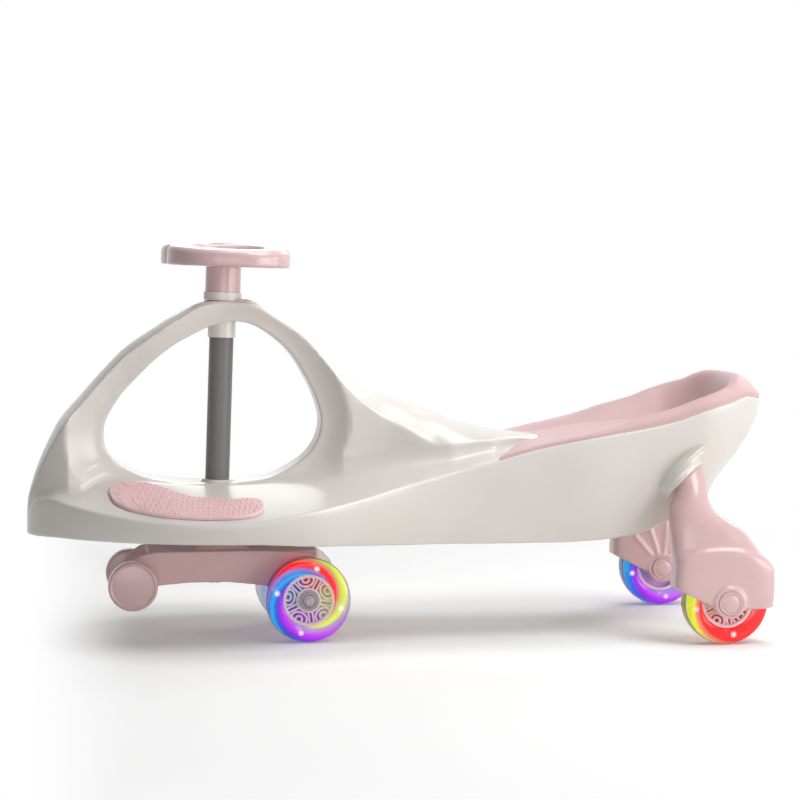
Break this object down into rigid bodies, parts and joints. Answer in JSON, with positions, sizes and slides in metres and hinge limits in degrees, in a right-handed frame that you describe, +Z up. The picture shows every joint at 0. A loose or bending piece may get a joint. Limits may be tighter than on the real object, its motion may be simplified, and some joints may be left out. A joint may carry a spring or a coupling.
{
  "type": "ride-on wiggle car",
  "caption": "Ride-on wiggle car with an arched moulded body, bucket seat, turning column with a looped steering wheel, swivelling front truck with nose rollers, and light-up wheels.",
  "frame": {"origin": "floor level under the middle of the overall box", "axes": "X from the nose to the tail, Y from the left side to the right side, Z up"},
  "size_m": [0.79, 0.318, 0.4129],
  "materials": {
    "cream_plastic": "gloss",
    "pink_plastic": "gloss",
    "dark_paint": "gloss",
    "dark_plastic": "matte",
    "bright_steel": "satin",
    "clear_tread": "gloss",
    "light_ring": "gloss"
  },
  "bodies": {
    "body": {"body_shell": "cream_plastic", "underside_pan": "cream_plastic", "pan_screws": "bright_steel", "seat": "pink_plastic", "seat_screws": "bright_steel", "left_foot_pad": "pink_plastic", "right_foot_pad": "pink_plastic", "head_collar": "cream_plastic", "deck_bush": "dark_plastic", "left_rear_leg": "pink_plastic", "right_rear_leg": "pink_plastic", "leg_bolts": "bright_steel", "rear_axles": "bright_steel", "rear_spacers": "bright_steel", "rear_caps": "pink_plastic"},
    "steering": {"steering_shaft": "dark_paint", "column_sleeve": "pink_plastic", "steering_wheel": "pink_plastic", "hub_cap": "pink_plastic", "steering_bolt": "bright_steel", "truck_frame": "pink_plastic", "thrust_washer": "bright_steel", "king_bolt": "bright_steel", "front_axle": "bright_steel", "front_spacers": "bright_steel", "front_washers": "bright_steel", "front_nuts": "bright_steel", "roller_pins": "bright_steel"},
    "left_front_wheel": {"left_front_tyre": "clear_tread", "left_front_hub": "pink_plastic", "left_front_bearings": "bright_steel", "left_front_lights": "light_ring", "left_front_core": "dark_plastic"},
    "right_front_wheel": {"right_front_tyre": "clear_tread", "right_front_hub": "pink_plastic", "right_front_bearings": "bright_steel", "right_front_lights": "light_ring", "right_front_core": "dark_plastic"},
    "left_rear_wheel": {"left_rear_tyre": "clear_tread", "left_rear_hub": "pink_plastic", "left_rear_bearings": "bright_steel", "left_rear_lights": "light_ring", "left_rear_core": "dark_plastic"},
    "right_rear_wheel": {"right_rear_tyre": "clear_tread", "right_rear_hub": "pink_plastic", "right_rear_bearings": "bright_steel", "right_rear_lights": "light_ring", "right_rear_core": "dark_plastic"},
    "left_nose_roller": {"left_roller": "pink_plastic"},
    "right_nose_roller": {"right_roller": "pink_plastic"}
  },
  "joints": [
    {"name": "steering_turn", "type": "hinge", "parent": "body", "child": "steering", "pos_m": [-0.2025, 0, 0], "axis": [0.0349, 0, 0.9994], "continuous": true},
    {"name": "left_front_spin", "type": "hinge", "parent": "steering", "child": "left_front_wheel", "pos_m": [-0.10796, -0.062, 0.044], "axis": [0, 1, 0], "continuous": true},
    {"name": "right_front_spin", "type": "hinge", "parent": "steering", "child": "right_front_wheel", "pos_m": [-0.10796, 0.062, 0.044], "axis": [0, 1, 0], "continuous": true},
    {"name": "left_rear_spin", "type": "hinge", "parent": "body", "child": "left_rear_wheel", "pos_m": [0.316, -0.13398, 0.044], "axis": [0, 1, 0], "continuous": true},
    {"name": "right_rear_spin", "type": "hinge", "parent": "body", "child": "right_rear_wheel", "pos_m": [0.316, 0.13398, 0.044], "axis": [0, 1, 0], "continuous": true},
    {"name": "left_roller_spin", "type": "hinge", "parent": "steering", "child": "left_nose_roller", "pos_m": [-0.28741, -0.054, 0.06], "axis": [0, 1, 0], "continuous": true},
    {"name": "right_roller_spin", "type": "hinge", "parent": "steering", "child": "right_nose_roller", "pos_m": [-0.28741, 0.054, 0.06], "axis": [0, 1, 0], "continuous": true}
  ]
}
